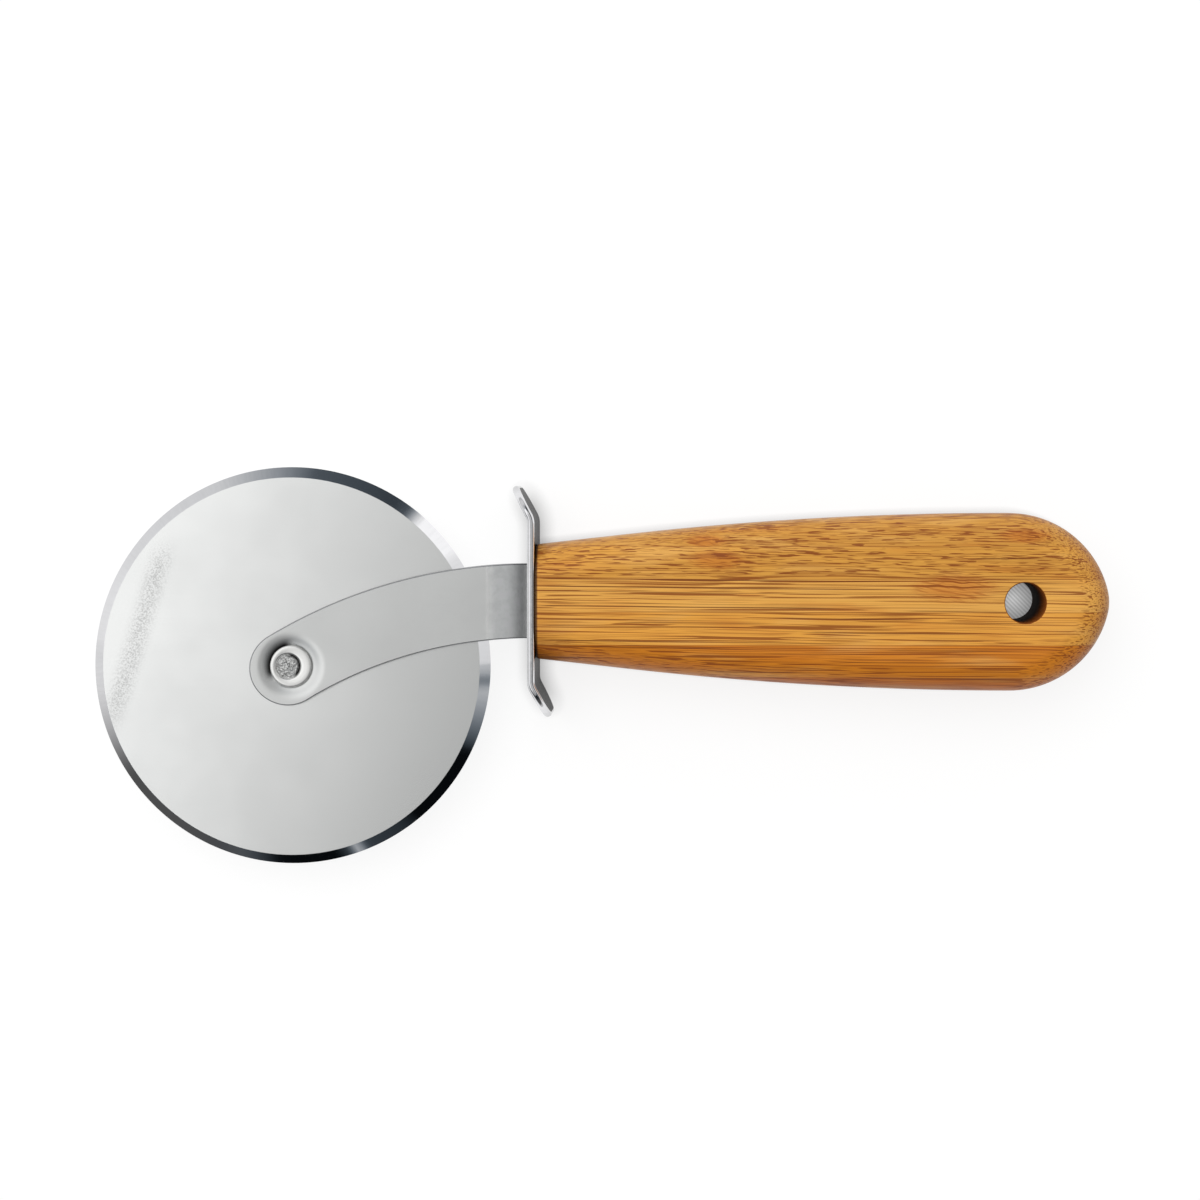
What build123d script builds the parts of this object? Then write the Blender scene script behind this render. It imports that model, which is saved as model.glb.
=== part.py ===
from build123d import *

import os
from math import atan2, cos, hypot, radians, sin, tan

# Pizza cutter wheel with a bamboo handle, lying on its side. Millimetres, +Z up.
# Every piece is drawn about the axle, with the blade's middle plane at Z = 0 and the
# handle along +X. At the end the whole tool is set down on Z = 0, centred on the origin.

# Wheel: one flat steel disc, ground to an edge from both sides
wheel_diameter = 75.0
wheel_thickness = 1.0
bevel_width = 1.8
edge_land = 0.1

# Axle: a tubular rivet, clinched at the front, and a short bush that the wheel turns on
rivet_diameter = 6.0
rivet_head_diameter = 8.0
rivet_head_height = 1.1
rivet_head_rim = 0.4
rivet_hollow_diameter = 4.6
rivet_hollow_depth = 1.5
clinch_diameter = 7.9
clinch_height = 0.95
clinch_roll_drop = 0.25
bush_wall = 0.8

# Arms: two mirrored pressings, each with a dimple at the axle and a joggle at the guard
arm_sheet = 1.0
arm_width = 14.1
arm_end_reach = 0.9
arm_gap = 2.6
joggle_length = 6.4
joggle_end_gap = 0.5
joggle_bend_radius = 1.5
dimple_floor_diameter = 8.5
dimple_wall_run = 1.8
dimple_rim_width = 0.6
dimple_bend_radius = 1.5

# Tangs: the narrower tails of the two arms, back to back through the guard
tang_width = 10.0
tang_length = 46.0
tang_end_radius = 2.5
key_hole_diameter = 4.0
key_hole_shares = (0.35, 0.75)

# Finger guard: a bent strip, its upper end turned forwards and its lower end backwards
axle_to_guard = 44.9
guard_thickness = 1.4
guard_width = 20.0
guard_height = 43.7
guard_flange_length = 6.9
guard_flange_angle = 28.0
guard_bend_radius = 3.2
guard_corner_radius = 4.5

# Handle: cut from a flat board, with rounded edges and a hanging hole
axle_to_handle_axis = 12.3
handle_length = 106.8
handle_thickness = 20.0
handle_front_height = 21.3
handle_height = 33.1
cap_length_share = 0.56
tip_radius_share = 0.28
handle_edge_radius = 6.0
taper_share = 0.6
hang_hole_diameter = 7.5
hang_hole_to_end = 16.2

# Clearances
running_clearance = 0.05
side_play = 0.05
rivet_clearance = 0.05
slot_clearance = 0.1
glue_gap = 0.3
glue_end_gap = 3.0

# Overrun: how far a cut passes the face that it opens
overrun = 1.0

# Sizes that follow from those above
wheel_radius = wheel_diameter / 2
blade_face = wheel_thickness / 2
rivet_radius = rivet_diameter / 2
bush_inner_radius = rivet_radius + rivet_clearance
bush_radius = bush_inner_radius + bush_wall
hub_radius = bush_radius + running_clearance
dimple_inner_face = blade_face + side_play
dimple_outer_face = dimple_inner_face + arm_sheet
arm_inner_face = arm_gap / 2
arm_outer_face = arm_inner_face + arm_sheet
guard_back = axle_to_guard + guard_thickness
handle_end = guard_back + handle_length
tang_end = guard_back + tang_length


def rounded(face, radius, *corners):
    """Round the corners of a flat face that lie at the given points."""
    picked = [face.vertices().sort_by_distance(corner)[0] for corner in corners]
    return fillet(picked, radius)


def turned(section):
    """Solid of revolution about the axle, from a half section drawn with Y for height."""
    return revolve(Plane.XZ * section, Axis.Z)


def prism(outline, height):
    """Outline given a height, half of it above the blade's middle plane and half below."""
    return extrude(outline, height / 2, both=True)


def cutting_wheel():
    """Flat disc with a hub hole, its rim ground from both faces to a narrow land."""
    flat_radius = wheel_radius - bevel_width
    half_land = edge_land / 2
    outline = Polyline(
        (hub_radius, -blade_face),
        (flat_radius, -blade_face),
        (wheel_radius, -half_land),
        (wheel_radius, half_land),
        (flat_radius, blade_face),
        (hub_radius, blade_face),
        close=True,
    )
    return turned(make_face(outline))


def axle_bush():
    """Sleeve held between the two dimples, a little longer than the blade is thick."""
    blank = Cylinder(bush_radius, 2 * dimple_inner_face)
    return blank - Cylinder(bush_inner_radius, 2 * dimple_inner_face)


def axle_rivet():
    """Domed head below, plain shank, and a hollow end rolled outwards over the upper dimple."""
    seat = dimple_outer_face
    head_radius = rivet_head_diameter / 2
    hollow_radius = rivet_hollow_diameter / 2
    clinch_radius = clinch_diameter / 2
    crown = seat + clinch_height
    lip = crown - clinch_roll_drop
    roll_top = ((hollow_radius + clinch_radius) / 2, crown)
    hollow_floor = crown - rivet_hollow_depth
    head_rim = -seat - rivet_head_rim
    head_top = -seat - rivet_head_height
    hollow = Polyline((0, head_top), (0, hollow_floor), (hollow_radius, hollow_floor), (hollow_radius, lip))
    roll = ThreePointArc((hollow_radius, lip), roll_top, (clinch_radius, lip))
    shank = Polyline(
        (clinch_radius, lip),
        (clinch_radius, seat),
        (rivet_radius, seat),
        (rivet_radius, -seat),
        (head_radius, -seat),
        (head_radius, head_rim),
    )
    dome = TangentArc((0, head_top), (head_radius, head_rim), tangent=(1, 0))
    return turned(make_face(hollow + roll + shank + dome))


def arm_plan():
    """Arm from above: a curved bar, its round end a little past the axle, and its straight tang."""
    shoulder = (axle_to_guard, axle_to_handle_axis)
    sweep = 2 * atan2(axle_to_handle_axis, axle_to_guard)
    end_centre = (-arm_end_reach * cos(sweep), -arm_end_reach * sin(sweep))
    bar = trace(TangentArc(shoulder, end_centre, tangent=(-1, 0)), arm_width)
    round_end = Pos(*end_centre) * Circle(arm_width / 2)
    tang = Rectangle(tang_end - axle_to_guard, tang_width, align=(Align.MIN, Align.CENTER))
    tang = fillet(tang.vertices().group_by(Axis.X)[-1], tang_end_radius)
    return bar + round_end + Pos(*shoulder) * tang


def dimple():
    """Round dimple pressed towards the blade, with the rivet's hole in its floor."""
    floor_radius = dimple_floor_diameter / 2
    wall_radius = floor_radius + dimple_wall_run
    wall_angle = atan2(arm_outer_face - dimple_outer_face, dimple_wall_run)
    bend_shift = arm_sheet * tan(wall_angle / 2)
    rim_radius = wall_radius + bend_shift + dimple_rim_width
    inner_bends = [
        (floor_radius + bend_shift, dimple_inner_face),
        (wall_radius + bend_shift, arm_inner_face),
    ]
    outer_bends = [
        (wall_radius, arm_outer_face),
        (floor_radius, dimple_outer_face),
    ]
    outline = Polyline(
        (bush_inner_radius, dimple_inner_face),
        *inner_bends,
        (rim_radius, arm_inner_face),
        (rim_radius, arm_outer_face),
        *outer_bends,
        (bush_inner_radius, dimple_outer_face),
        close=True,
    )
    return turned(rounded(make_face(outline), dimple_bend_radius, *outer_bends))


def front_arm():
    """Pressing above the blade: flat over the blade, joggled down to the middle plane, flat in its tang."""
    middle = arm_sheet / 2
    level = arm_inner_face + middle
    joggle_end = axle_to_guard - joggle_end_gap
    joggle_start = joggle_end - joggle_length
    bent_line = FilletPolyline(
        (-arm_width, level),
        (joggle_start, level),
        (joggle_end, middle),
        (tang_end + overrun, middle),
        radius=joggle_bend_radius,
    )
    bent_sheet = prism(Plane.XZ * trace(bent_line, arm_sheet), 2 * wheel_diameter)
    arm = bent_sheet & prism(arm_plan(), 2 * arm_outer_face)
    pressed = dimple()
    blank = Cylinder(pressed.bounding_box().size.X / 2, wheel_diameter)
    hole = Cylinder(key_hole_diameter / 2, wheel_diameter)
    keys = [Pos(guard_back + share * tang_length, axle_to_handle_axis) * hole for share in key_hole_shares]
    return arm - blank + pressed - keys


def rear_arm():
    """The same pressing the other way round, below the blade."""
    return mirror(front_arm(), Plane.XY)


def tang_slot(start, end, gap):
    """Block from one X to another that holds both tangs back to back, with a gap all round."""
    height = 2 * arm_sheet + 2 * gap
    slot = Box(end - start, tang_width + 2 * gap, height, align=(Align.MIN, Align.CENTER, Align.CENTER))
    return Pos(start, axle_to_handle_axis) * slot


def finger_guard():
    """Bent strip seen edge on, with rounded corners and a slot that the tangs pass through."""
    lean = radians(guard_flange_angle)
    rise = guard_flange_length * cos(lean)
    run = guard_flange_length * sin(lean)
    half_height = (guard_height - guard_thickness * sin(lean)) / 2
    bent_line = FilletPolyline(
        (run, -half_height),
        (0, rise - half_height),
        (0, half_height - rise),
        (-run, half_height),
        radius=guard_bend_radius,
    )
    strip = prism(trace(bent_line, guard_thickness), guard_width)
    ends = strip.faces().sort_by(Axis.Y)
    corners = (ends[0].edges() + ends[-1].edges()).filter_by(Axis.Z, reverse=True)
    strip = fillet(corners, guard_corner_radius)
    strip = Pos(axle_to_guard + guard_thickness / 2, axle_to_handle_axis) * strip
    return strip - tang_slot(axle_to_guard - overrun, guard_back + overrun, slot_clearance)


def handle_plan():
    """Handle from above: a straight taper, a long belly arc to the widest place, and a blunt oval end."""
    half_front = handle_front_height / 2
    half_height = handle_height / 2
    cap_length = cap_length_share * handle_height
    tip_radius = tip_radius_share * handle_height
    widest = handle_length - cap_length
    corner = taper_share * widest
    belly_reach = widest - corner
    taper_length = hypot(corner, half_height - half_front)
    belly_share = 1 - belly_reach / taper_length
    belly_start = (belly_share * corner, half_front + belly_share * (half_height - half_front))
    taper = Line((0, half_front), belly_start)
    belly = TangentArc(belly_start, (widest, half_height), tangent=taper % 1)

    tip_run = cap_length - tip_radius
    shoulder_drop = tip_run**2 + half_height**2 - tip_radius**2
    shoulder_radius = shoulder_drop / (2 * (half_height - tip_radius))
    lean = atan2(shoulder_radius - half_height, tip_run)
    tip_start = (widest + tip_run + tip_radius * cos(lean), tip_radius * sin(lean))
    shoulder = TangentArc((widest, half_height), tip_start, tangent=(1, 0))
    tip = TangentArc((handle_length, 0), tip_start, tangent=(0, 1))
    closing = Polyline((handle_length, 0), (0, 0), (0, half_front))
    upper_half = make_face(taper + belly + shoulder + tip + closing)
    return upper_half + mirror(upper_half, Plane.XZ)


def handle():
    """Board cut to the plan, with rounded edges, a hanging hole and a slot for the tangs."""
    board = prism(handle_plan(), handle_thickness)
    levels = board.edges().group_by(Axis.Z)
    long_edges = (levels[0] + levels[-1]).filter_by(Axis.Y, reverse=True)
    board = fillet(long_edges, handle_edge_radius)
    hole = Cylinder(hang_hole_diameter / 2, handle_thickness)
    board = board - Pos(handle_length - hang_hole_to_end) * hole
    board = Pos(guard_back, axle_to_handle_axis) * board
    return board - tang_slot(guard_back - overrun, tang_end + glue_end_gap, glue_gap)


def tang_glue():
    """Glue that fills the handle's slot round the tangs and through their holes."""
    filling = tang_slot(guard_back, tang_end + glue_end_gap, glue_gap)
    return filling - front_arm() - rear_arm()


# The tool lies on its side, on the handle and one edge of the guard
length_centre = (handle_end - wheel_radius) / 2
lying = Pos(-length_centre, 0, handle_thickness / 2)

pieces = {
    "cutting_wheel": cutting_wheel(),
    "axle_bush": axle_bush(),
    "axle_rivet": axle_rivet(),
    "front_arm": front_arm(),
    "rear_arm": rear_arm(),
    "finger_guard": finger_guard(),
    "handle": handle(),
    "tang_glue": tang_glue(),
}

os.makedirs("parts", exist_ok=True)
for name, piece in pieces.items():
    placed = lying * piece
    placed.label = name
    export_step(placed, f"parts/{name}.step")
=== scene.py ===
from math import atan2, cos, hypot, pi, radians, sin, tan

import bmesh
import bpy
from mathutils import Matrix, Vector


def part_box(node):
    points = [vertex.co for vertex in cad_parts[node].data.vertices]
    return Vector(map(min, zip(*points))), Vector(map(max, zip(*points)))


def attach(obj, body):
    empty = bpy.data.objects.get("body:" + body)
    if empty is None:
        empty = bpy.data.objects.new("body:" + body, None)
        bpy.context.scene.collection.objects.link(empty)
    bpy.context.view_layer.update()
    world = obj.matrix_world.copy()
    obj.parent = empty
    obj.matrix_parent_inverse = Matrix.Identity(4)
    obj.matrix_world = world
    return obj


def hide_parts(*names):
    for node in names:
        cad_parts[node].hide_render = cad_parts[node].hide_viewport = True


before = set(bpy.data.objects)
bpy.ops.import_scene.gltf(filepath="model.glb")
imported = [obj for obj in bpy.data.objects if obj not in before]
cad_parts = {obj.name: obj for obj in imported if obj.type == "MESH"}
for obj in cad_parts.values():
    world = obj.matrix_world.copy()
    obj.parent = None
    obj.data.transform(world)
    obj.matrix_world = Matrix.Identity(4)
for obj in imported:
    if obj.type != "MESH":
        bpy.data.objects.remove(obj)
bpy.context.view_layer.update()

# Wheel: a flat disc of stainless strip, 1 mm thick, with a satin face. Both sides are ground
# down to the edge on a wheel that ran a little out of true, so the bright bevel is wider at
# the handle's side.
mm = 0.001
low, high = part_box("cutting_wheel")
axle = (low + high) / 2
wheel_radius = 37.49
blade_face = 0.5
bevel_width = 1.8
edge_land = 0.1
bevel_rounding = 0.05
bevel_runout = (-0.25, -0.17)
hub_radius = 3.9
face_grey = (236, 237, 236)
ground_grey = (249, 249, 251)


def linear(shade):
    """Colour as it is written, three numbers up to 255, to the numbers that a material takes."""
    parts = [part / 255 for part in shade]
    return [part / 12.92 if part < 0.04045 else ((part + 0.055) / 1.055) ** 2.4 for part in parts] + [1]


class Shade:
    """A value in a finish. Sums on it add their Math nodes to the finish."""

    def __init__(self, tree, socket=None):
        self.tree = tree
        self.socket = socket

    def node(self, kind, settings=(), out=0, **sockets):
        """Add one node: its settings first, then its sockets' values or links, as in1=... or by name."""
        added = self.tree.nodes.new("ShaderNode" + kind)
        for name, value in dict(settings).items():
            if name == "stops":
                ramp = added.color_ramp
                ramp.elements.remove(ramp.elements[1])
                for count, (place, shade) in enumerate(value):
                    stop = ramp.elements[0] if count == 0 else ramp.elements.new(place)
                    stop.position = place
                    stop.color = linear(shade)
            elif name == "steps":
                added.color_ramp.interpolation = value
            else:
                setattr(added, name, value)
        for name, value in sockets.items():
            key = int(name[2:]) if name[2:].isdigit() else name.replace("_", " ")
            socket = added.inputs[key]
            if isinstance(value, Shade):
                self.tree.links.new(value.socket, socket)
            else:
                socket.default_value = value
        return Shade(self.tree, added.outputs[out])

    def sum(self, operation, *values):
        return self.node("Math", {"operation": operation}, **{f"in{n}": v for n, v in enumerate(values)})

    def __add__(self, other):
        return self.sum("ADD", self, other)

    def __sub__(self, other):
        return self.sum("SUBTRACT", self, other)

    def __rsub__(self, other):
        return self.sum("SUBTRACT", other, self)

    def __mul__(self, other):
        return self.sum("MULTIPLY", self, other)

    def __truediv__(self, other):
        return self.sum("DIVIDE", self, other)

    def __pow__(self, other):
        return self.sum("POWER", self, other)

    __radd__ = __add__
    __rmul__ = __mul__

    def rise(self, start, end):
        """0 below start, 1 above end, and smooth between them."""
        settings = {"interpolation_type": "SMOOTHSTEP"}
        return self.node("MapRange", settings, Value=self, From_Min=start, From_Max=end)

    def hump(self, middle, reach):
        """1 at the middle, and 0 from reach outwards."""
        return 1 - self.sum("ABSOLUTE", self - middle).rise(0, reach)

    def blend(self, first, second):
        """First colour where this value is 0, second colour where it is 1."""
        first, second = [shade if isinstance(shade, Shade) else linear(shade) for shade in (first, second)]
        return self.node("Mix", {"data_type": "RGBA"}, out=2, in0=self, in6=first, in7=second)

    def tint(self, shade):
        """Colour made brighter or darker by this value."""
        grey = self.node("CombineColor", in0=self, in1=self, in2=self)
        shade = shade if isinstance(shade, Shade) else linear(shade)
        settings = {"data_type": "RGBA", "blend_type": "MULTIPLY"}
        return self.node("Mix", settings, out=2, in0=1, in6=shade, in7=grey)

    def point(self, x, y, z):
        return self.node("CombineXYZ", in0=x, in1=y, in2=z)

    def noise(self, point, detail=2, rough=0.5):
        """Cloudy value about 0.5, with lumps one unit of the point across."""
        return self.node("TexNoise", Vector=point, Scale=1, Detail=detail, Roughness=rough)


def finish(name):
    """New material: its surface shader, and the place on the piece in mm as x, y and z."""
    made = bpy.data.materials.new(name)
    made.use_nodes = True
    start = Shade(made.node_tree)
    place = start.node("TexCoord", out=3)
    parts = start.node("SeparateXYZ", in0=place)
    shares = [Shade(parts.tree, output) for output in parts.socket.node.outputs]
    surface = made.node_tree.nodes["Principled BSDF"]
    return made, surface, [share * 1000 for share in shares]


def coat_with(surface, **sockets):
    """Set the surface shader's sockets to values, or to what the nodes give."""
    for name, value in sockets.items():
        socket = surface.inputs[name.replace("_", " ")]
        if isinstance(value, Shade):
            value.tree.links.new(value.socket, socket)
        else:
            socket.default_value = value


def satin_steel(name, grey, roughness, smudges):
    """Rolled sheet: fine grain, faint rolling lines along the piece, and wiped smudges."""
    made, surface, (x, y, z) = finish(name)
    grain = x.noise(x.point(x * 6, y * 6, z * 6), detail=1)
    rolled = x.noise(x.point(x * 0.05, y * 5, z * 5), detail=1)
    smudge = x.noise(x.point(x * 0.07, y * 0.07, z * 0.07), detail=2)
    patch = smudge.rise(0.3, 0.75)
    tone = 1 - smudges * patch + 0.05 * (grain - 0.5) + 0.02 * (rolled - 0.5)
    bump = x.node("Bump", Strength=0.12, Distance=0.00002, Height=grain + rolled * 0.5)
    coat_with(surface, Metallic=1.0, Base_Color=tone.tint(grey), Normal=bump)
    coat_with(surface, Roughness=roughness + 0.03 * (patch - 0.5) + 0.05 * (grain - 0.5))
    return made, surface, (x, y, z), tone


blade_satin, surface, (x, y, z), tone = satin_steel("blade_satin", face_grey, 0.25, 0.03)
# Painted reflection: a narrow slanting band across the face is darkened in grainy speckles, for a dark part
# of the room that the flat steel mirrors.
along = x - (axle.x / mm - 28.6) - (y - 8) * 0.31
speckle = x.noise(x.point(x * 3.4, y * 3.4, z), detail=2, rough=0.8).rise(0.43, 0.6)
painted_reflection_band = along.hump(0, 3.4) * y.rise(-16, -4) * (1 - y.rise(18, 25))
coat_with(surface, Base_Color=(tone - painted_reflection_band * (0.05 + speckle * 0.28)).tint(face_grey))

blade_ground, surface, (x, y, z) = finish("blade_ground")
turn = x.sum("ARCTAN2", y, x - axle.x / mm)
strokes = x.noise(x.point(turn * 60, z, 0), detail=2)
coat_with(surface, Metallic=1.0, Base_Color=(1 - 0.1 * strokes).tint(ground_grey))
coat_with(surface, Roughness=0.02 + 0.05 * strokes)


def turned(section, steps, closed):
    """Spin a half section once round the axle. Its corners are (radius, height) in mm."""
    mesh = bmesh.new()
    corners = [mesh.verts.new(axle + Vector((radius, 0, height)) * mm) for radius, height in section]
    for start, end in zip(corners, corners[1:] + corners[:1] * closed):
        mesh.edges.new((start, end))
    geom = mesh.verts[:] + mesh.edges[:]
    bmesh.ops.spin(mesh, geom=geom, cent=axle, axis=(0, 0, 1), angle=2 * pi, steps=steps, use_merge=True)
    bmesh.ops.remove_doubles(mesh, verts=mesh.verts, dist=0.0001 * mm)
    bmesh.ops.recalc_face_normals(mesh, faces=mesh.faces)
    return mesh


def from_axle(vertex):
    """How far a vertex is from the axle's line, in mm."""
    return (vertex.co - axle).xy.length / mm


def on_circle(mesh, radius):
    """Edges of a turned mesh that lie at one distance from the axle, in mm."""
    return [edge for edge in mesh.edges if all(abs(from_axle(end) - radius) < 0.01 for end in edge.verts)]


def rounded(mesh, geom, radius, segments, kind="EDGES"):
    """Round off edges or corners of a mesh to a radius in mm."""
    bmesh.ops.bevel(
        mesh, geom=geom, offset=radius * mm, segments=segments, profile=0.5, affect=kind, material=-1
    )


def made_piece(name, mesh, body, finishes, crease=35):
    """Piece from a mesh, smooth but for its creases, on its body and with its material slot."""
    for face in mesh.faces:
        face.smooth = True
    for edge in mesh.edges:
        edge.smooth = edge.calc_face_angle(0) < radians(crease)
    data = bpy.data.meshes.new(name)
    mesh.to_mesh(data)
    mesh.free()
    for each in finishes:
        data.materials.append(each)
    piece = bpy.data.objects.new(name, data)
    bpy.context.scene.collection.objects.link(piece)
    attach(piece, body)
    return piece


flat_radius = wheel_radius - bevel_width
disc = turned(
    [
        (hub_radius, -blade_face),
        (flat_radius, -blade_face),
        (wheel_radius, -edge_land / 2),
        (wheel_radius, edge_land / 2),
        (flat_radius, blade_face),
        (hub_radius, blade_face),
    ],
    256,
    True,
)
rounded(disc, on_circle(disc, flat_radius), bevel_rounding, 2)
shifted = [vertex for vertex in disc.verts if abs(from_axle(vertex) - flat_radius) < 0.3]
bmesh.ops.translate(disc, verts=shifted, vec=Vector((*bevel_runout, 0)) * mm)
for face in disc.faces:
    if abs(face.normal.z) < 0.99:
        face.material_index = 1
wheel = made_piece("wheel", disc, "wheel", (blade_satin, blade_ground), crease=5)
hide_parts("cutting_wheel")

# Bush: a short steel sleeve round the rivet, a little longer than the blade is thick, so that
# the clinched rivet can't pinch the wheel. It is turned bar, and only its ends touch the arms.
bush_grey = (200, 200, 198)
turned_steel, surface, (x, y, z) = finish("turned_steel")
rings = x.noise(x.point(0, 0, z * 12), detail=1)
coat_with(surface, Metallic=1.0, Base_Color=(0.9 + 0.2 * rings).tint(bush_grey), Roughness=0.2 + 0.2 * rings)
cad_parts["axle_bush"].data.materials.clear()
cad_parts["axle_bush"].data.materials.append(turned_steel)

# Arms: two mirrored pressings of 1 mm stainless sheet, one each side of the blade. Each has a
# dimple that reaches down to the bush, a joggle at the guard, and a narrower tang with two
# holes that the glue keys into.
arm_width = 14.1
arm_outer_face = 2.3
arm_sheet = 1.0
dimple_section = [
    (3.05, 1.55),
    (3.55, 1.55),
    (3.7, 1.61),
    (3.85, 1.8),
    (3.95, 1.93),
    (4.1, 1.985),
    (4.3, 2.015),
    (4.6, 2.06),
    (4.9, 2.11),
    (5.2, 2.163),
    (5.5, 2.212),
    (5.8, 2.253),
    (6.1, 2.282),
    (6.4, 2.295),
    (6.7, 2.3),
]
arm_end_reach = 0.9
axle_to_guard = 44.9
axle_to_handle_axis = 12.3
joggle_start = 38.0
joggle_length = 6.4
joggle_ease = 0.14
fine_run = 9.0
tang_strips = 28
rim_steps = 192
corner_turn = radians(37.5)
guard_thickness = 1.4
tang_length = 46.0
tang_corner = 2.5
key_hole_radius = 2.0
key_hole_shares = (0.35, 0.75)
arm_edge = 0.24
arm_grey = (220, 221, 220)
cut_grey = (168, 169, 171)

arm_satin, surface, (x, y, z), tone = satin_steel("arm_satin", arm_grey, 0.24, 0.05)
scuffs = x.noise(x.point(x * 0.7, y * 0.7, z * 0.7), detail=2) - 0.5
away_x = x - axle.x / mm
away_y = y - axle.y / mm
# From the joggle on, the arm is more scuffed and rougher, and its colour is made lighter: painted light
# against the darker room that the sloped joggle mirrors.
joggle_wear_and_painted_light = away_x.rise(joggle_start - 1.6, joggle_start + 0.2)
from_rivet = (away_x**2 + away_y**2) ** 0.5
# Painted shade: the colour is darkened nearly to black in a crescent round the rivet, on the side away from
# the guard, where the dimple falls into shade.
painted_dimple_shade = ((away_y * 0.55 - away_x) / from_rivet).rise(0.4, 0.85) * (1 - from_rivet.rise(4.1, 5.7))
tone = (tone + scuffs * (0.04 + 0.5 * joggle_wear_and_painted_light) + 0.36 * joggle_wear_and_painted_light) * (1 - 0.97 * painted_dimple_shade)
coat_with(surface, Base_Color=tone.tint(arm_grey), Roughness=0.24 + joggle_wear_and_painted_light * 0.12 + scuffs * 0.05)

cut_steel, surface, (x, y, z) = finish("cut_steel")
torn = x.noise(x.point(x * 2, y * 2, z * 5), detail=3)
coat_with(surface, Metallic=1.0, Base_Color=(0.75 + 0.5 * torn).tint(cut_grey), Roughness=0.25 + 0.2 * torn)


def joggle(along):
    """Share of the joggle's drop at a distance along the arm, in mm from the axle."""
    share = (along - joggle_start) / joggle_length
    first = min(max(share + joggle_ease, 0), 2 * joggle_ease) ** 2 / (4 * joggle_ease)
    last = min(max(1 + joggle_ease - share, 0), 2 * joggle_ease) ** 2 / (4 * joggle_ease)
    straight = min(max(share, joggle_ease), 1 - joggle_ease) - joggle_ease
    return first + straight + joggle_ease - last


def from_arm_centre(vertex):
    """Vertex's place in mm, from the axle and the blade's middle plane."""
    return (vertex.co - axle) / mm


def only(items, kind):
    """Items of one kind, vertices or edges, out of what a mesh operator gives back."""
    return [item for item in items if isinstance(item, kind)]


def drawn_on(mesh, row, step):
    """Draw a row of edges on by a straight step in mm, and return its new end."""
    drawn = bmesh.ops.extrude_edge_only(mesh, edges=row)["geom"]
    points = only(drawn, bmesh.types.BMVert)
    bmesh.ops.translate(mesh, verts=points, vec=Vector((*step, 0)) * mm)
    return [edge for edge in only(drawn, bmesh.types.BMEdge) if all(end in points for end in edge.verts)]


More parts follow.
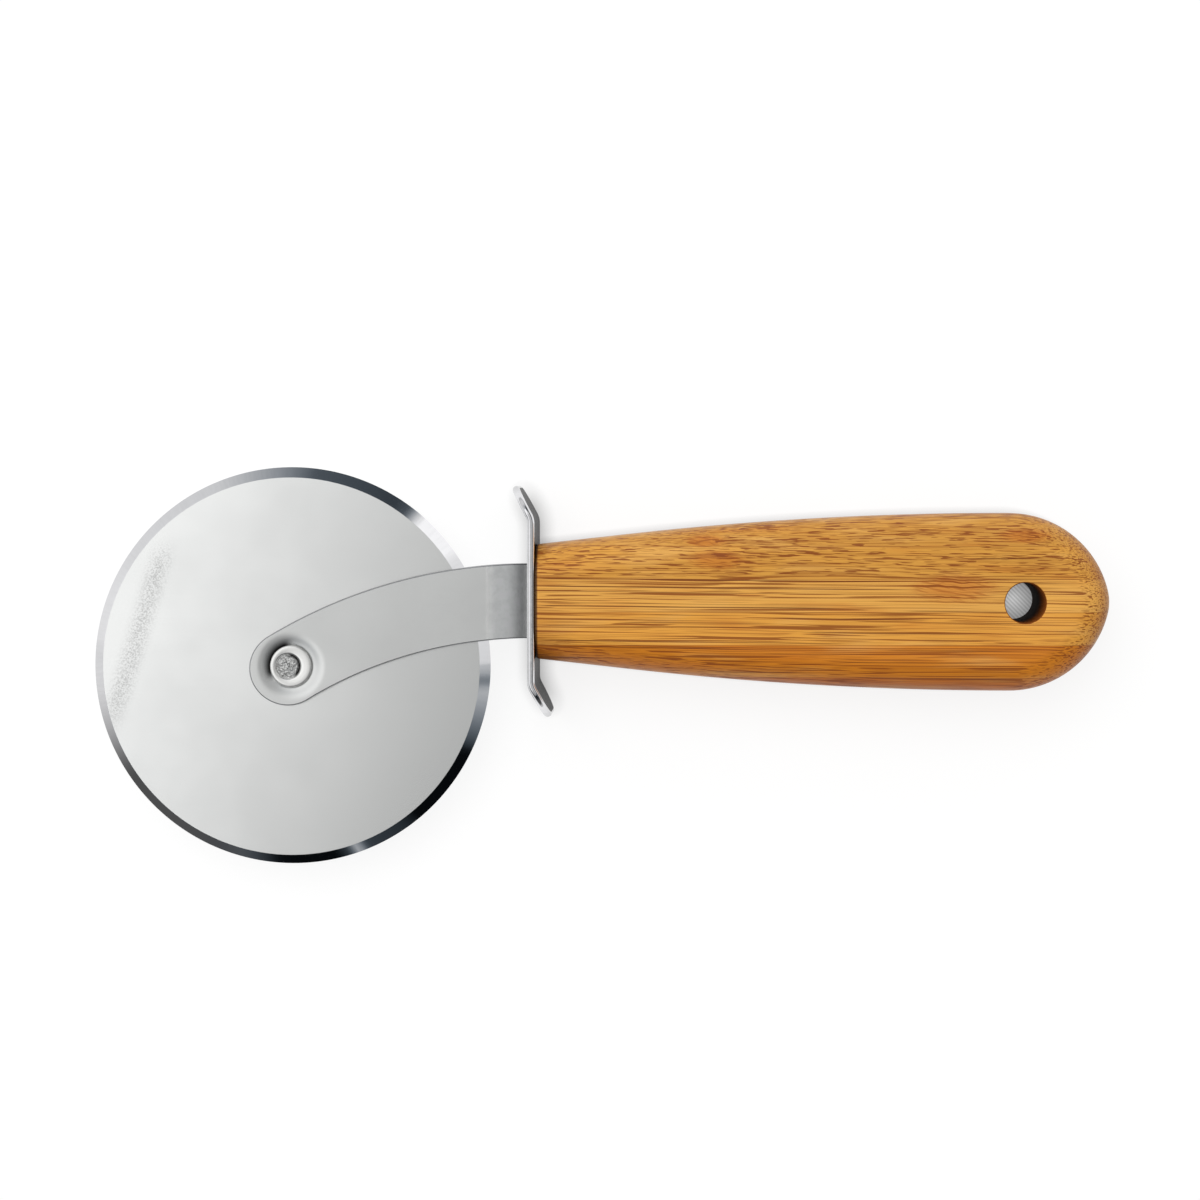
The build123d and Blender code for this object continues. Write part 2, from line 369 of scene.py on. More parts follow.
def pressed_arm():
    """Outer face of the arm above the blade: dimple, curved bar, joggle and tang."""
    half_width = arm_width / 2
    reach = Vector((axle_to_guard, axle_to_handle_axis))
    bend_radius = reach.length_squared / (2 * reach.y)
    sweep = 2 * atan2(reach.y, reach.x)
    bend_centre = axle + Vector((reach.x, reach.y - bend_radius, 0)) * mm
    bar_start = half_width / tan(corner_turn)
    mesh = turned(dimple_section, rim_steps, False)
    bmesh.ops.rotate(mesh, verts=mesh.verts, cent=axle, matrix=Matrix.Rotation(sweep, 3, "Z"))

    dimple_reach = dimple_section[-1][0]
    drawn = bmesh.ops.extrude_edge_only(mesh, edges=on_circle(mesh, dimple_reach))["geom"]
    points = []
    for vertex in only(drawn, bmesh.types.BMVert):
        away = vertex.co - axle
        turn = (atan2(away.y, away.x) - sweep + 3 * pi) % (2 * pi) - pi
        if abs(turn) < corner_turn + 0.001:
            along, wide = bar_start, half_width * turn / corner_turn
            points.append(vertex)
        elif abs(turn) < pi / 2 + 0.001:
            along, wide = half_width / tan(abs(turn)), half_width * turn / abs(turn)
        else:
            along, wide = half_width * cos(turn) - arm_end_reach, half_width * sin(turn)
        lean = sweep - along / bend_radius
        place = Vector((-sin(lean), cos(lean), 0)) * (bend_radius + wide)
        vertex.co = bend_centre + (place + Vector((0, 0, arm_outer_face))) * mm
    row = [edge for edge in only(drawn, bmesh.types.BMEdge) if all(end in points for end in edge.verts)]
    begin = bar_start / bend_radius
    fine = fine_run / bend_radius
    for turn, steps in ((sweep - begin - fine, 20), (fine, 40)):
        spun = bmesh.ops.spin(
            mesh, geom=points + row, cent=bend_centre, axis=(0, 0, 1), angle=-turn, steps=steps
        )["geom_last"]
        points = only(spun, bmesh.types.BMVert)
        row = only(spun, bmesh.types.BMEdge)

    row.sort(key=lambda edge: edge.verts[0].co.y + edge.verts[1].co.y)
    spare = (len(row) - tang_strips) // 2
    row = row[spare : len(row) - spare]
    tang_end = axle_to_guard + guard_thickness + tang_length
    holes = [axle_to_guard + guard_thickness + share * tang_length for share in key_hole_shares]
    stations = [axle_to_guard]
    for hole in holes:
        stations += [hole - key_hole_radius + 0.25 * step for step in range(17)]
    stations += [tang_end - 1.6 * tang_corner, tang_end]
    for start, end in zip(stations, stations[1:]):
        row = drawn_on(mesh, row, (end - start, 0))

    for hole in holes:
        centre = axle + Vector((hole, axle_to_handle_axis, arm_outer_face)) * mm
        offsets = [(face, face.calc_center_median() - centre) for face in mesh.faces]
        inside = [face for face, gap in offsets if max(abs(gap.x), abs(gap.y)) < key_hole_radius * mm]
        border = {edge for face in inside for edge in face.edges}
        border = [edge for edge in border if sum(face in inside for face in edge.link_faces) == 1]
        edge_points = {end for edge in border for end in edge.verts}
        bmesh.ops.delete(mesh, geom=inside, context="FACES")
        for vertex in edge_points:
            away = (vertex.co - centre).normalized()
            vertex.co = centre + away * key_hole_radius * mm

    for vertex in mesh.verts:
        vertex.co.z -= (arm_outer_face - arm_sheet) * joggle(from_arm_centre(vertex).x) * mm
    half_tang = tang_strips * half_width * pi / rim_steps / corner_turn
    for vertex in mesh.verts:
        if abs(from_arm_centre(vertex).x - tang_end) < 0.01:
            past = abs(from_arm_centre(vertex).y - axle_to_handle_axis) - (half_tang - tang_corner)
            past = min(max(past, 0), tang_corner)
            vertex.co.x -= (tang_corner - (tang_corner**2 - past**2) ** 0.5) * mm
    bmesh.ops.recalc_face_normals(mesh, faces=mesh.faces)
    if sum(face.normal.z for face in mesh.faces) < 0:
        bmesh.ops.reverse_faces(mesh, faces=mesh.faces)
    return mesh


def thickened(piece, thickness, offset, rounding, segments):
    """Give a sheet its thickness, and round its edges, which have their own finish."""
    wall = piece.modifiers.new("sheet", "SOLIDIFY")
    wall.thickness = thickness * mm
    wall.offset = offset
    edges = piece.modifiers.new("edges", "BEVEL")
    edges.width = rounding * mm
    edges.segments = segments
    edges.limit_method = "ANGLE"
    edges.angle_limit = radians(50)
    edges.harden_normals = True
    edges.use_clamp_overlap = False
    wall.material_offset_rim = 1
    edges.material = 1


front = made_piece("arm_above", pressed_arm(), "holder", (arm_satin, cut_steel))
thickened(front, arm_sheet, -1, arm_edge, 3)
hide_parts("front_arm")

below = pressed_arm()
bmesh.ops.scale(below, verts=below.verts, vec=(1, 1, -1), space=Matrix.Translation(-axle))
bmesh.ops.reverse_faces(below, faces=below.faces)
rear = made_piece("arm_below", below, "holder", (arm_satin, cut_steel))
thickened(rear, arm_sheet, -1, arm_edge, 3)
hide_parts("rear_arm")

# Rivet: a tubular steel rivet through both dimples and the bush. Its head is below, and its
# hollow end is rolled outwards above, which leaves a rough pit in the middle.
rivet_section = [
    (0, 2.0),
    (0.6, 2.0),
    (1.2, 1.99),
    (1.8, 1.97),
    (2.15, 1.95),
    (2.25, 2.0),
    (2.28, 2.1),
    (2.3, 2.25),
    (2.33, 2.34),
    (2.4, 2.42),
    (2.5, 2.46),
    (2.65, 2.475),
    (2.85, 2.485),
    (3.05, 2.495),
    (3.3, 2.5),
    (3.55, 2.497),
    (3.74, 2.487),
    (3.84, 2.455),
    (3.9, 2.4),
    (3.94, 2.3),
    (3.95, 2.1),
    (3.88, 1.95),
    (3.75, 1.76),
    (3.6, 1.6),
    (3.5, 1.55),
    (3.0, 1.55),
    (3.0, -1.55),
    (3.9, -1.55),
    (3.98, -1.6),
    (4.0, -1.7),
    (3.98, -1.9),
    (3.9, -1.99),
    (3.2, -2.24),
    (2.4, -2.44),
    (1.6, -2.56),
    (0.8, -2.63),
    (0, -2.65),
]
pit_offset = 0.54
pit_rim = 2.4
rivet_grey = (240, 240, 238)
rivet_steel, surface, (x, y, z) = finish("rivet_steel")
out = ((x - axle.x / mm) ** 2 + (y - axle.y / mm) ** 2) ** 0.5
pit_x = x - (axle.x / mm - pit_offset)
pit_y = y - axle.y / mm
from_pit = (pit_x**2 + pit_y**2) ** 0.5
# Painted shade: the colour is darkened nearly to black in a crescent round the pit's inner wall, on the
# guard's side, where the pit falls into shade.
painted_pit_shade = from_pit.hump(2.1, 0.6) * (pit_x + 0.25 * pit_y).rise(0.0, 1.3)
rough_floor = 1 - from_pit.rise(2.0, 2.5)
crumbs = x.node("TexVoronoi", Vector=x.point(x * 2.6, y * 2.6, z), Scale=1.0)
lumps = x.noise(x.point(x * 3 + 0.4, y * 3 + 0.3, z * 2 + 0.4), detail=3)
rings = x.noise(x.point(out * 9, 0, z * 9), detail=1)
height = rough_floor * (crumbs * 0.6 + lumps) + (1 - rough_floor) * rings * 0.02
bump = x.node("Bump", Strength=0.8, Distance=0.00016, Height=height)
flecks = x.noise(x.point(x * 2.3 + 0.4, y * 2.3 + 0.3, z + 0.4), detail=3, rough=0.7)
tone = (0.97 + rough_floor * (0.03 - 0.55 * flecks.rise(0.48, 0.58)) - 0.04 * rings) * (1 - 0.98 * painted_pit_shade)
coat_with(surface, Metallic=1.0, Base_Color=tone.tint(rivet_grey), Normal=bump)
coat_with(surface, Roughness=0.16 + 0.1 * rough_floor + 0.05 * rings)

turned_rivet = turned(rivet_section, 128, False)
for vertex in turned_rivet.verts:
    if vertex.co.z > axle.z + mm and from_axle(vertex) < pit_rim + 1:
        vertex.co.x -= pit_offset * mm * (1 - max(from_axle(vertex) - pit_rim, 0))
rivet = made_piece("rivet", turned_rivet, "holder", (rivet_steel,), crease=60)
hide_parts("axle_rivet")

# Finger guard: a bright bent strip of 1.4 mm stainless steel between the arms and the handle.
# It is blanked with rounded corners and a slot, and its ends are turned opposite ways.
guard_width = 20.0
guard_height = 43.7
flange_length = 6.9
flange_angle = radians(28)
guard_bend_radius = 3.2
guard_corner = 5.8
slot_half_height = 5.1
slot_half_width = 1.1
guard_edge = 0.62
shade_darkened_guard_grey = (128, 129, 131)
edge_grey = (236, 236, 238)

# Painted shade: the guard's steel gets a much darker grey than the arms' steel, and a dark tint at grazing
# angles, for the shadowed floor that its flanks mirror.
guard_steel, surface, (x, y, z) = finish("guard_steel")
brushed = x.noise(x.point(x * 0.3, y * 7, z * 0.3), detail=2)
smudge = x.noise(x.point(x * 0.2, y * 0.2, z * 0.2), detail=3)
bump = x.node("Bump", Strength=0.1, Distance=0.00002, Height=brushed)
coat_with(surface, Metallic=1.0, Base_Color=(1 - 0.1 * smudge).tint(shade_darkened_guard_grey), Normal=bump)
coat_with(surface, Roughness=0.16 + 0.08 * brushed + 0.05 * smudge, Specular_Tint=(0.1, 0.1, 0.1, 1))

rolled_edge, surface, (x, y, z) = finish("rolled_edge")
dents = x.noise(x.point(x * 0.5, y * 0.5, z * 0.5), detail=2)
bump = x.node("Bump", Strength=0.3, Distance=0.0001, Height=dents)
# Painted shade: the edge's colour grows darker towards the floor.
tone = (1 - 0.15 * dents) * (0.35 + 0.65 * z.rise(12, 19))
coat_with(surface, Metallic=1.0, Base_Color=tone.tint(edge_grey), Normal=bump, Roughness=0.06 + 0.06 * dents)


def bent_on(mesh, row, centre, turn, steps):
    """Draw a row of edges on round a bend, and return its new end."""
    geom = row + list(dict.fromkeys(end for edge in row for end in edge.verts))
    spun = bmesh.ops.spin(mesh, geom=geom, cent=centre, axis=(0, 0, 1), angle=turn, steps=steps)
    return only(spun["geom_last"], bmesh.types.BMEdge)


middle = axle + Vector((axle_to_guard + guard_thickness / 2, axle_to_handle_axis, 0)) * mm
rise = flange_length * cos(flange_angle)
run = flange_length * sin(flange_angle)
half_height = (guard_height - guard_thickness * sin(flange_angle)) / 2
trim = guard_bend_radius * tan(flange_angle / 2)
flange = flange_length - trim
straight = half_height - rise - trim
strip = bmesh.new()
levels = (-guard_width / 2, -slot_half_width, slot_half_width, guard_width / 2)
posts = [strip.verts.new(middle + Vector((run, -half_height, level)) * mm) for level in levels]
row = [strip.edges.new(pair) for pair in zip(posts, posts[1:])]
lower_bend = middle + Vector((guard_bend_radius, -straight, 0)) * mm
upper_bend = middle + Vector((-guard_bend_radius, straight, 0)) * mm
row = drawn_on(strip, row, (-flange * sin(flange_angle), flange * cos(flange_angle)))
row = bent_on(strip, row, lower_bend, -flange_angle, 10)
row = drawn_on(strip, row, (0, straight - slot_half_height))
row = drawn_on(strip, row, (0, 2 * slot_half_height))
row = drawn_on(strip, row, (0, straight - slot_half_height))
row = bent_on(strip, row, upper_bend, flange_angle, 10)
row = drawn_on(strip, row, (-flange * sin(flange_angle), flange * cos(flange_angle)))
slot = [face for face in strip.faces if (face.calc_center_median() - middle).length < 0.5 * mm]
bmesh.ops.delete(strip, geom=slot, context="FACES")
tips = [
    vertex
    for vertex in strip.verts
    if abs(vertex.co.y - middle.y) > (half_height - 0.1) * mm
    and abs(vertex.co.z - middle.z) > (guard_width / 2 - 1) * mm
]
rounded(strip, tips, guard_corner, 8, "VERTICES")
bmesh.ops.recalc_face_normals(strip, faces=strip.faces)
guard = made_piece("guard", strip, "holder", (guard_steel, rolled_edge))
thickened(guard, guard_thickness, 0, guard_edge, 6)
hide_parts("finger_guard")

# Glue: resin that fills the slot in the handle round the two tangs and through their holes.
# It is poured in clear amber, and it is hidden once the tool is together.
glue_amber = (186, 142, 78)
resin, surface, (x, y, z) = finish("resin")
clouds = x.noise(x.point(x * 0.4, y * 0.4, z * 0.4), detail=2)
coat_with(surface, Base_Color=(0.85 + 0.3 * clouds).tint(glue_amber), Roughness=0.3)
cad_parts["tang_glue"].data.materials.clear()
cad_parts["tang_glue"].data.materials.append(resin)

# Handle: cut from a board of bamboo strips glued side by side, shaped and sanded, and rubbed
# with oil. The strips run its whole length, and show fibres along the faces, dashes where the
# surface slopes, dots at the end, and a few knots.
handle_length = 106.78
handle_thickness = 20.0
handle_front_height = 21.3
handle_height = 33.1
handle_cap_length = 0.56 * handle_height
handle_tip_radius = 0.28 * handle_height
handle_edge_radius = 6.0
handle_front_rounding = 0.5
taper_share = 0.6
hang_hole_radius = 3.75
hang_hole_to_end = 16.2
hole_rounding = 0.3
slot_height = 10.6
slot_width = 2.6
slot_depth = 49.0

strip_width = 6.1
first_glue_line = 4.34
# The strips' colours, from the near side of the handle to the far side. The near strips are darker partly in
# their own wood and partly from painted shade of the lower roundover.
strip_woods_and_shade = [(198, 110, 14), (208, 126, 26), (225, 158, 62), (228, 167, 76), (216, 154, 62), (206, 146, 58)]
wood_pale = (232, 182, 104)
fibre_brown = (130, 60, 4)
fibre_dark = (92, 40, 2)
knot_orange = (192, 102, 12)
knot_brown = (150, 70, 6)
end_brown = (150, 82, 12)
# Brown of painted shade, for the gap at the guard and the bottom of the hanging hole.
shade_brown = (40, 18, 4)
drilled_brown = (128, 70, 24)
# Each fibre: its height on the face, where it starts and ends, half its width, its strength.
bold_fibres = [
    (9.0, 68, 88, 0.15, 0.8),
    (4.48, -12, 60, 0.13, 0.8),
    (4.5, 76, 92, 0.15, 0.8),
    (2.97, -12, 63, 0.15, 0.9),
    (2.07, -12, 78, 0.11, 0.6),
    (-0.03, -12, 57, 0.1, 0.55),
    (-0.57, -12, 50, 0.16, 1.0),
    (-1.0, 56, 87, 0.12, 0.7),
    (-2.2, 8, 31, 0.13, 0.7),
    (-2.45, 32, 63, 0.14, 0.8),
    (-3.0, 57, 90, 0.13, 0.7),
    (-3.2, -12, 27, 0.1, 0.5),
    (-3.62, 3, 37, 0.13, 0.8),
    (-4.35, -12, 35, 0.13, 0.7),
    (-5.1, 37, 74, 0.13, 0.7),
    (-6.2, 58, 82, 0.13, 0.6),
    (-7.07, -12, 50, 0.15, 0.9),
    (-8.1, -12, 29, 0.15, 0.8),
    (-8.2, 52, 82, 0.14, 0.8),
    (-9.0, 30, 60, 0.14, 0.7),
    (-9.92, 43, 66, 0.12, 0.7),
    (-10.3, -12, 8, 0.2, 0.8),
    (-10.45, 43, 78, 0.14, 0.8),
    (-12.6, 20, 45, 0.2, 0.6),
    (-13.4, 47, 80, 0.16, 0.8),
]
# Each knot: where it lies along and across the handle, and its reach each way.
knots = [
    (22.0, 8.0, 6.5, 2.4),
    (20.4, 11.4, 5.0, 1.5),
    (66.0, 2.7, 10.0, 3.4),
    (79.0, 12.4, 6.5, 1.9),
]
knot_depth = 8.0


def bamboo():
    """Solid bamboo in strips: the fibres run along the handle right through the wood."""
    made, surface, (x, y, z) = finish("bamboo")
    across = y - (axle.y / mm + axle_to_handle_axis)
    strips = (across - first_glue_line) / strip_width
    strip = x.sum("FLOOR", strips)
    within = x.sum("FRACT", strips)
    seed = x.node("TexWhiteNoise", {"noise_dimensions": "1D"}, W=strip + 3.5)
    glue_line = 1 - x.sum("MINIMUM", within, 1 - within).rise(0.004, 0.02)

    knotted = None
    for knot_x, knot_y, reach_x, reach_y in knots:
        away = (((x - knot_x) / reach_x) ** 2 + ((across - knot_y) / reach_y) ** 2) ** 0.5
        here = 1 - away.rise(0.3, 1.0)
        knotted = here if knotted is None else knotted + here
    knotted = knotted * z.rise(handle_thickness - knot_depth, handle_thickness - knot_depth + 4)
    curl = x.noise(x.point(x * 0.2, y * 0.4, z * 0.3), detail=1) - 0.5

    wander = x.noise(x.point(x * 0.02, y * 0.1, z * 0.1 + seed * 9), detail=1) - 0.5
    drift = x.noise(x.point(x * 0.02 + 7, y * 0.1, z * 0.1 + seed * 5), detail=1) - 0.5
    lie_y = y + x * 0.01 + wander * 1.2 + knotted * curl * 1.2
    lie_z = z + drift * 1.6 + seed * 40
    run = x * 0.014

    dense = within * seed.rise(0.45, 0.55) + (1 - within) * (1 - seed.rise(0.45, 0.55))
    crowd = x.noise(x.point(x * 0.03, y * 0.5, z * 0.3 + seed * 7), detail=1)
    bundle = x.noise(x.point(run, lie_y * 3.6, lie_z * 3.6), detail=0)
    bundles = (bundle + 0.05 * dense + 0.16 * (crowd - 0.5)).rise(0.63, 0.68)
    hair = x.noise(x.point(run * 1.6, lie_y * 7.0, lie_z * 7.0), detail=0)
    hairs = (hair + 0.05 * dense + 0.1 * (crowd - 0.5)).rise(0.55, 0.68)
    sloped = across.rise(4.6, 5.4)
    dash = x.noise(x.point(x * 0.24, lie_y * 3.6, lie_z * 3.6), detail=1)
    dashes = sloped * (dash + 0.24 * (crowd - 0.5)).rise(0.56, 0.62)
    silk = x.noise(x.point(run, lie_y * 9, lie_z * 9), detail=1)
    stroke = x.noise(x.point(x * 0.2 - y * 0.08, y * 2.3 + x * 0.5 + curl * 0.8, 0), detail=1)
    strokes = knotted.rise(0.05, 0.6) * stroke.rise(0.5, 0.62)

    bold = None
    for row, start, end, reach, strength in bold_fibres:
        line = (across + x * 0.01 + wander * 0.5).hump(row, reach)
        line = line * strength * x.rise(start, start + 4) * (1 - x.rise(end - 12, end))
        bold = line if bold is None else bold + line
    bold = bold * z.rise(handle_thickness - 6, handle_thickness - 4) * (0.55 + 0.9 * crowd)
    bold = bold.node("Clamp", Value=bold)

    # The near strips' colours include painted shade of the lower roundover.
    stops = [(count / len(strip_woods_and_shade), wood) for count, wood in enumerate(strip_woods_and_shade)]
    share = (strip + 4.5) / len(strip_woods_and_shade)
    ground = share.node("ValToRGB", {"steps": "CONSTANT", "stops": stops}, Fac=share)
    cloud = x.noise(x.point(x * 0.05, y * 0.3, z * 0.3 + seed * 11), detail=2)
    ground = (cloud.rise(0.5, 0.75) * 0.35).blend(ground, wood_pale)
    ground = ((1 - cloud.rise(0.25, 0.5)) * 0.35).blend(ground, knot_orange)
    ground = (0.91 + 0.18 * silk).tint(ground)
    ground = (knotted * 0.55).blend(ground, knot_orange)
    facing = x.node("SeparateXYZ", in0=x.node("NewGeometry", out=1))
    end_grain = facing.rise(0.35, 0.85)
    ground = (end_grain * 0.4).blend(ground, end_brown)
    # Darker brown over the lower side of the front end, near the guard.
    darker_lower_front = (1 - (x - handle_front.x / mm).rise(0, 9)) * (1 - across.rise(-12, 3))
    ground = (darker_lower_front * 0.45).blend(ground, fibre_brown)
    ground = (hairs * (0.42 + 0.3 * end_grain)).blend(ground, fibre_brown)
    ground = (bundles * (0.8 - 0.5 * sloped)).blend(ground, fibre_brown)
    ground = (dashes * 0.85).blend(ground, fibre_brown)
    ground = (strokes * 0.45).blend(ground, knot_brown)
    ground = bold.blend(ground, fibre_dark)
    ground = (glue_line * 0.45).blend(ground, fibre_brown)
    # Painted shadow: the handle's front rounding against the guard is darkened nearly to black, for the
    # shadowed gap between them.
    painted_gap_shadow = 1 - (x - handle_front.x / mm).rise(0.35, 0.7)
    ground = (painted_gap_shadow * 0.9).blend(ground, shade_brown)
    height = 1 - bundles * 0.6 - hairs * 0.3 - glue_line * 0.3 - bold * 0.8
    bump = x.node("Bump", Strength=0.25, Distance=0.00005, Height=height)
    coat_with(surface, Base_Color=ground, Normal=bump, Roughness=0.42 + 0.2 * bundles)
    coat_with(surface, Coat_Weight=0.1, Coat_Roughness=0.3, Specular_IOR_Level=0.3)
    return made


def drilled_wood():
    """Wall of the hanging hole: rough and darker than the faces, partly burnt by the drill, and partly
    painted shade that grows darker towards the bottom of the hole.
    """
    made, surface, (x, y, z) = finish("drilled_wood")
    fibres = x.noise(x.point(x * 0.3, y * 3, z * 3), detail=2)
    # Painted shade: darker towards the bottom of the hole.
    ground = z.rise(8, 18).blend(shade_brown, drilled_brown)
    coat_with(surface, Base_Color=(0.6 + 0.8 * fibres).tint(ground), Roughness=0.85, Specular_IOR_Level=0.1)
    return made


def opened(mesh, face, ring):
    """Join a flat face's outline to the ring of edges that opens it."""
    outline = face.edges[:]
    bmesh.ops.delete(mesh, geom=[face], context="FACES_ONLY")
    bmesh.ops.triangle_fill(mesh, use_beauty=True, edges=outline + ring)


handle_front = axle + Vector((axle_to_guard + guard_thickness, axle_to_handle_axis, 0)) * mm
half_front = handle_front_height / 2
half_height = handle_height / 2
widest = handle_length - handle_cap_length
corner = taper_share * widest
belly_reach = widest - corner
lean = atan2(half_height - half_front, corner)
belly_radius = belly_reach / tan(lean / 2)
taper_run = hypot(corner, half_height - half_front) - belly_reach
tip_run = handle_cap_length - handle_tip_radius
tip_rise = half_height - handle_tip_radius
shoulder_radius = (tip_run**2 + half_height**2 - handle_tip_radius**2) / (2 * tip_rise)
tip_lean = atan2(shoulder_radius - half_height, tip_run)


def at(along, up, level=0):
    """Place on the handle in mm from the middle of its front end, as a point in the scene."""
    return handle_front + Vector((along, up, level)) * mm


board = bmesh.new()
underside = -handle_thickness / 2
end = board.verts.new(at(0, half_front, underside))
end = bmesh.ops.extrude_vert_indiv(board, verts=[end])["verts"][0]
end.co = at(taper_run * cos(lean), half_front + taper_run * sin(lean), underside)
for centre, turn, steps in (
    ((widest, half_height - belly_radius), -lean, 40),
    ((widest, half_height - shoulder_radius), tip_lean - pi / 2, 40),
    ((handle_length - handle_tip_radius, 0), -tip_lean, 6),
):
    centre = at(*centre, underside)
    spun = bmesh.ops.spin(board, geom=[end], cent=centre, axis=(0, 0, 1), angle=turn, steps=steps)
    end = only(spun["geom_last"], bmesh.types.BMVert)[0]
geom = board.verts[:] + board.edges[:]
bmesh.ops.mirror(board, geom=geom, matrix=Matrix.Translation(-handle_front), merge_dist=0.01 * mm, axis="Y")
bmesh.ops.remove_doubles(board, verts=board.verts, dist=0.01 * mm)
first = [vertex for vertex in board.verts if vertex.co.x < handle_front.x + 0.01 * mm]
board.edges.new(first)
bmesh.ops.contextual_create(board, geom=board.edges[:])
sheet = bmesh.ops.extrude_face_region(board, geom=board.faces[:])["geom"]
raised = only(sheet, bmesh.types.BMVert)
bmesh.ops.translate(board, verts=raised, vec=(0, 0, handle_thickness * mm))
bmesh.ops.recalc_face_normals(board, faces=board.faces)
rims = [
    edge
    for edge in board.edges
    if abs(edge.verts[0].co.z - edge.verts[1].co.z) < 0.01 * mm
    and not all(point.co.x < handle_front.x + 0.01 * mm for point in edge.verts)
]
rounded(board, rims, handle_edge_radius, 14)
front_face = min(board.faces, key=lambda face: face.calc_center_median().x)
rounded(board, front_face.edges[:], handle_front_rounding, 3)
flats = [face for face in board.faces if abs(face.normal.z) > 0.999 and face.calc_area() > 500 * mm * mm]
bmesh.ops.inset_region(board, faces=flats, thickness=0.2 * mm, use_even_offset=True)
rings = []
for face in flats:
    level = face.calc_center_median().z
    place = Matrix.Translation(Vector((*at(handle_length - hang_hole_to_end, 0).xy, level)))
    circle = bmesh.ops.create_circle(board, segments=64, radius=hang_hole_radius * mm, matrix=place)["verts"]
    ring = list(dict.fromkeys(edge for point in circle for edge in point.link_edges))
    opened(board, face, ring)
    rings.append(ring)
bmesh.ops.bridge_loops(board, edges=rings[0] + rings[1])
rounded(board, rings[0] + rings[1], hole_rounding, 3)
front_face = min(board.faces, key=lambda face: face.calc_center_median().x)
mouth = [
    board.verts.new(at(0, up * slot_height / 2, level * slot_width / 2))
    for up, level in ((-1, -1), (1, -1), (1, 1), (-1, 1))
]
ring = [board.edges.new(pair) for pair in zip(mouth, mouth[1:] + mouth[:1])]
opened(board, front_face, ring)
floor_of_slot = drawn_on(board, ring, (slot_depth, 0))
bmesh.ops.contextual_create(board, geom=floor_of_slot)
bmesh.ops.recalc_face_normals(board, faces=board.faces)
hole_middle = at(handle_length - hang_hole_to_end, 0)
for face in board.faces:
    if (face.calc_center_median() - hole_middle).xy.length < (hang_hole_radius + hole_rounding / 2) * mm:
        face.material_index = 1
grip = made_piece("grip", board, "holder", (bamboo(), drilled_wood()), crease=40)
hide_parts("handle")

# Floor: the white sheet that the tool lies on. The camera and the steel see it as white paper,
# and it keeps the tool's soft shadow. Its fine ribs show where the hanging hole shades it.
hole_shade = 0.42
rib_shade = 0.12
rib_pitch = 0.838
paper = bpy.data.materials.new("paper")
paper.use_nodes = True
start = Shade(paper.node_tree)
seen = start.node("LightPath", out=0)
mirrored = start.node("LightPath", out=3)
through = start.node("LightPath", out=6)
white = paper.node_tree.nodes["Principled BSDF"]
open_share = start.node("AmbientOcclusion", {"samples": 8}, out=1, Distance=0.0035)
spots = start.node("SeparateXYZ", in0=start.node("TexCoord", out=3))
floor_x, floor_y = [Shade(spots.tree, output) * 1000 for output in spots.socket.node.outputs[:2]]
from_hole = ((floor_x - hole_middle.x / mm) ** 2 + (floor_y - hole_middle.y / mm) ** 2) ** 0.5
ribs = start.sum("SINE", (floor_x + floor_y) * (2 * pi / rib_pitch))
covered = (1 - from_hole.rise(4.5, 6.0)) * (hole_shade + rib_shade * ribs)
glow = (0.35 + (seen + mirrored + through) * 0.49) * (0.15 + 0.85 * open_share) * (1 - covered)
coat_with(white, Base_Color=linear((118, 118, 118)), Roughness=0.9, Specular_IOR_Level=0.0)
coat_with(white, Emission_Color=glow.tint((255, 255, 255)), Emission_Strength=1.0)
ground = bmesh.new()
bmesh.ops.create_grid(ground, x_segments=1, y_segments=1, size=3.0)
data = bpy.data.meshes.new("floor")
ground.to_mesh(data)
ground.free()
data.materials.append(paper)
floor = bpy.data.objects.new("floor", data)
bpy.context.scene.collection.objects.link(floor)

# Light: a soft overhead lamp for the shadow, and a plain room. The steel mirrors the room,
# which is bright overhead and to the left, has a window to the right, and is dim and bluish
# towards the near side.
lamp = bpy.data.lights.new("softbox", "AREA")
lamp.shape = "DISK"
lamp.size = 0.9
lamp.energy = 5.0
softbox = bpy.data.objects.new("softbox", lamp)
softbox.location = (-0.25, 0.4, 1.0)
softbox.rotation_euler = (-softbox.location).to_track_quat("-Z", "Y").to_euler()
softbox.visible_glossy = False
bpy.context.scene.collection.objects.link(softbox)

zenith_shift = (0.148, 0.06)
shade_blue = (205, 232, 255)
room = bpy.data.worlds.new("room")
room.use_nodes = True
bpy.context.scene.world = room
start = Shade(room.node_tree)
toward = start.node("TexCoord", out=0)
parts = start.node("SeparateXYZ", in0=toward)
side, up, high = [Shade(parts.tree, output) for output in parts.socket.node.outputs]
steep = start.sum("MAXIMUM", high, 0.05)
right = side / steep + zenith_shift[0]
ahead = up / steep + zenith_shift[1]
out = (right**2 + ahead**2) ** 0.5
round_room = start.sum("ARCTAN2", ahead, right) / (2 * pi)
round_room = start.sum("FRACT", round_room + 1)
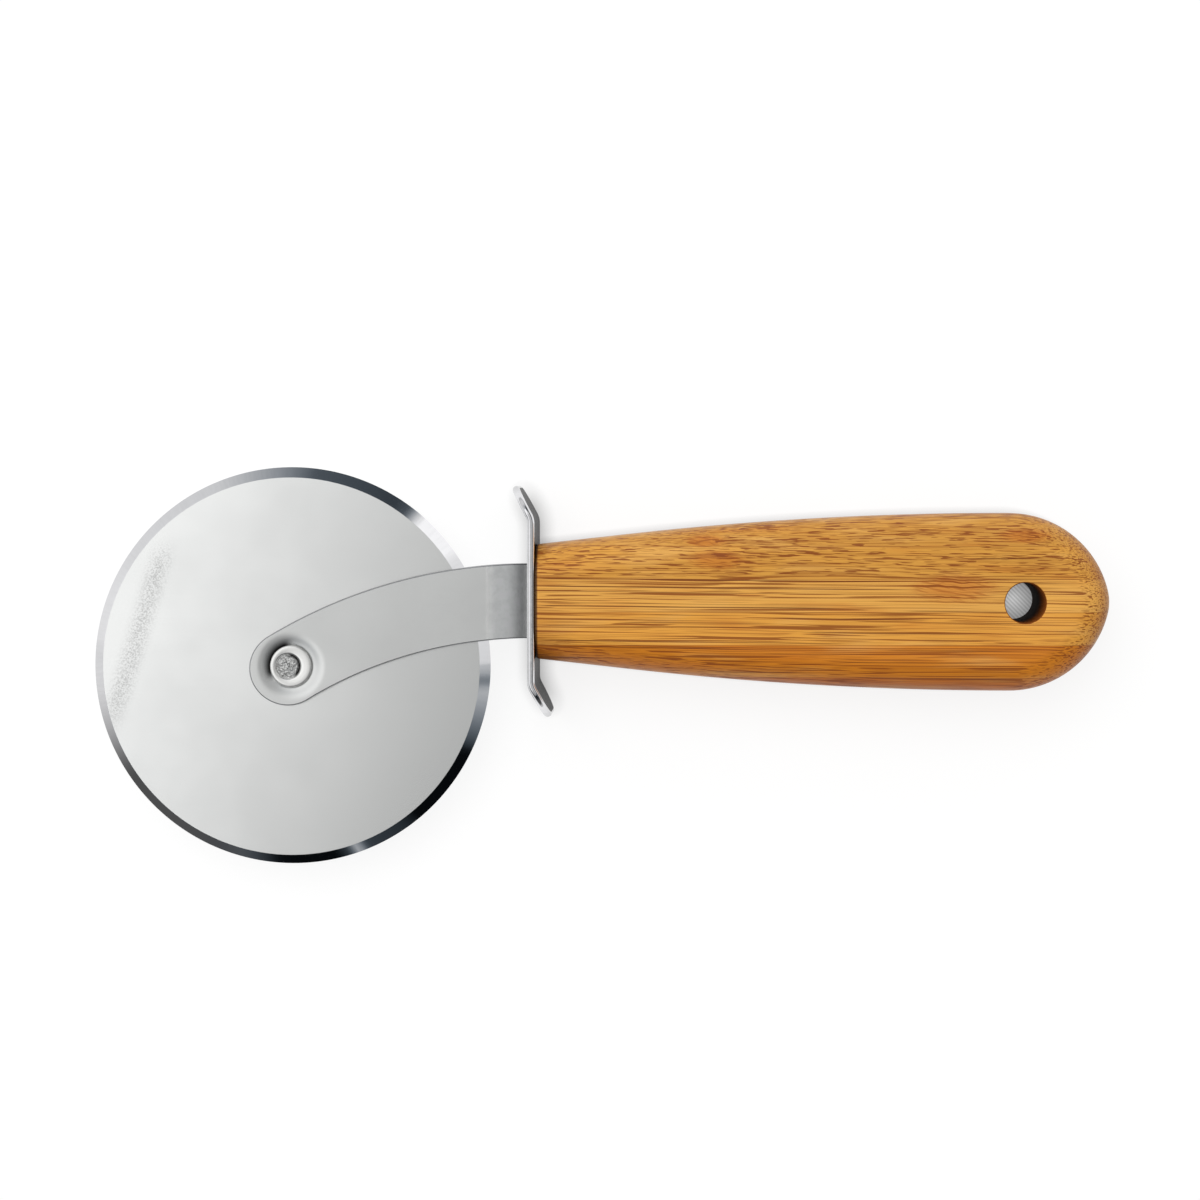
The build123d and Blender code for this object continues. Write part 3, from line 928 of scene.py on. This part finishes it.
# Each stop of the walls: its angle round from the right, and how bright it is there.
walls = [
    (0, 0.72),
    (33, 0.8),
    (36, 1.0),
    (48, 1.0),
    (53, 0.1),
    (58, 0.05),
    (84, 0.1),
    (100, 0.4),
    (115, 0.65),
    (150, 0.75),
    (174, 0.9),
    (179, 0.6),
    (200, 0.42),
    (207, 0.13),
    (240, 0.045),
    (252, 0.09),
    (262, 0.001),
    (281, 0.001),
    (285, 0.05),
    (287, 0.45),
    (290, 0.05),
    (302, 0.03),
    (308, 0.001),
    (333, 0.001),
    (342, 0.2),
    (352, 0.5),
    (355, 0.15),
    (358, 0.5),
]
stops = [(angle / 360, [255 * level ** (1 / 2.2)] * 3) for angle, level in walls]
ring = round_room.node("ValToRGB", {"stops": stops}, Fac=round_room)
ring = ring.node("RGBToBW", Color=ring)
overhead = 0.85 - 3.3 * right + 1.1 * ahead
overhead = overhead.node("Clamp", Value=overhead, Min=0.42, Max=1.2)
corners = 0.08 + 0.66 * ((ahead - right) / out).rise(0.25, 0.95)
skirting = out.rise(1.5, 2.3)
corners = corners * (1 - skirting) + 0.55 * skirting
nearby = out.rise(0.36, 0.47)
far = out.rise(0.74, 0.88)
horizon = (high * -1).rise(-0.34, -0.2)
mirror_light = overhead * (1 - nearby) + ring * nearby
mirror_light = mirror_light * (1 - far) + corners * far
mirror_light = mirror_light * (1 - horizon) + horizon
fill_light = 0.66 + 0.42 * up - 0.1 * side
softly = start.node("LightPath", out=2)
level = mirror_light * (1 - softly) + fill_light * softly
background = room.node_tree.nodes["Background"]
room.node_tree.links.new(level.socket, background.inputs["Strength"])
cool = (nearby * (1 - far) * (1 - ring) ** 3 * (1 - softly)).blend((255, 255, 255), shade_blue)
room.node_tree.links.new(cool.socket, background.inputs["Color"])

# Camera: above the front of the handle with a long lens, turned a little towards the blade.
camera_height = 0.5
camera_over = (0.0162, 0.0311)
aimed_at = (0.0051, 0.0181)
camera_data = bpy.data.cameras.new("camera")
camera_data.lens = 79.65
camera_data.sensor_width = 36
camera_data.shift_x = -0.021
camera_data.shift_y = -0.025
camera = bpy.data.objects.new("camera", camera_data)
camera.location = (*camera_over, axle.z + camera_height)
back = (camera.location - Vector((*aimed_at, axle.z))).normalized()
across = Vector((0, 1, 0)).cross(back).normalized()
camera.rotation_euler = Matrix((across, back.cross(across), back)).transposed().to_euler()
bpy.context.scene.collection.objects.link(camera)
bpy.context.scene.camera = camera
bpy.context.scene.view_settings.view_transform = "Standard"
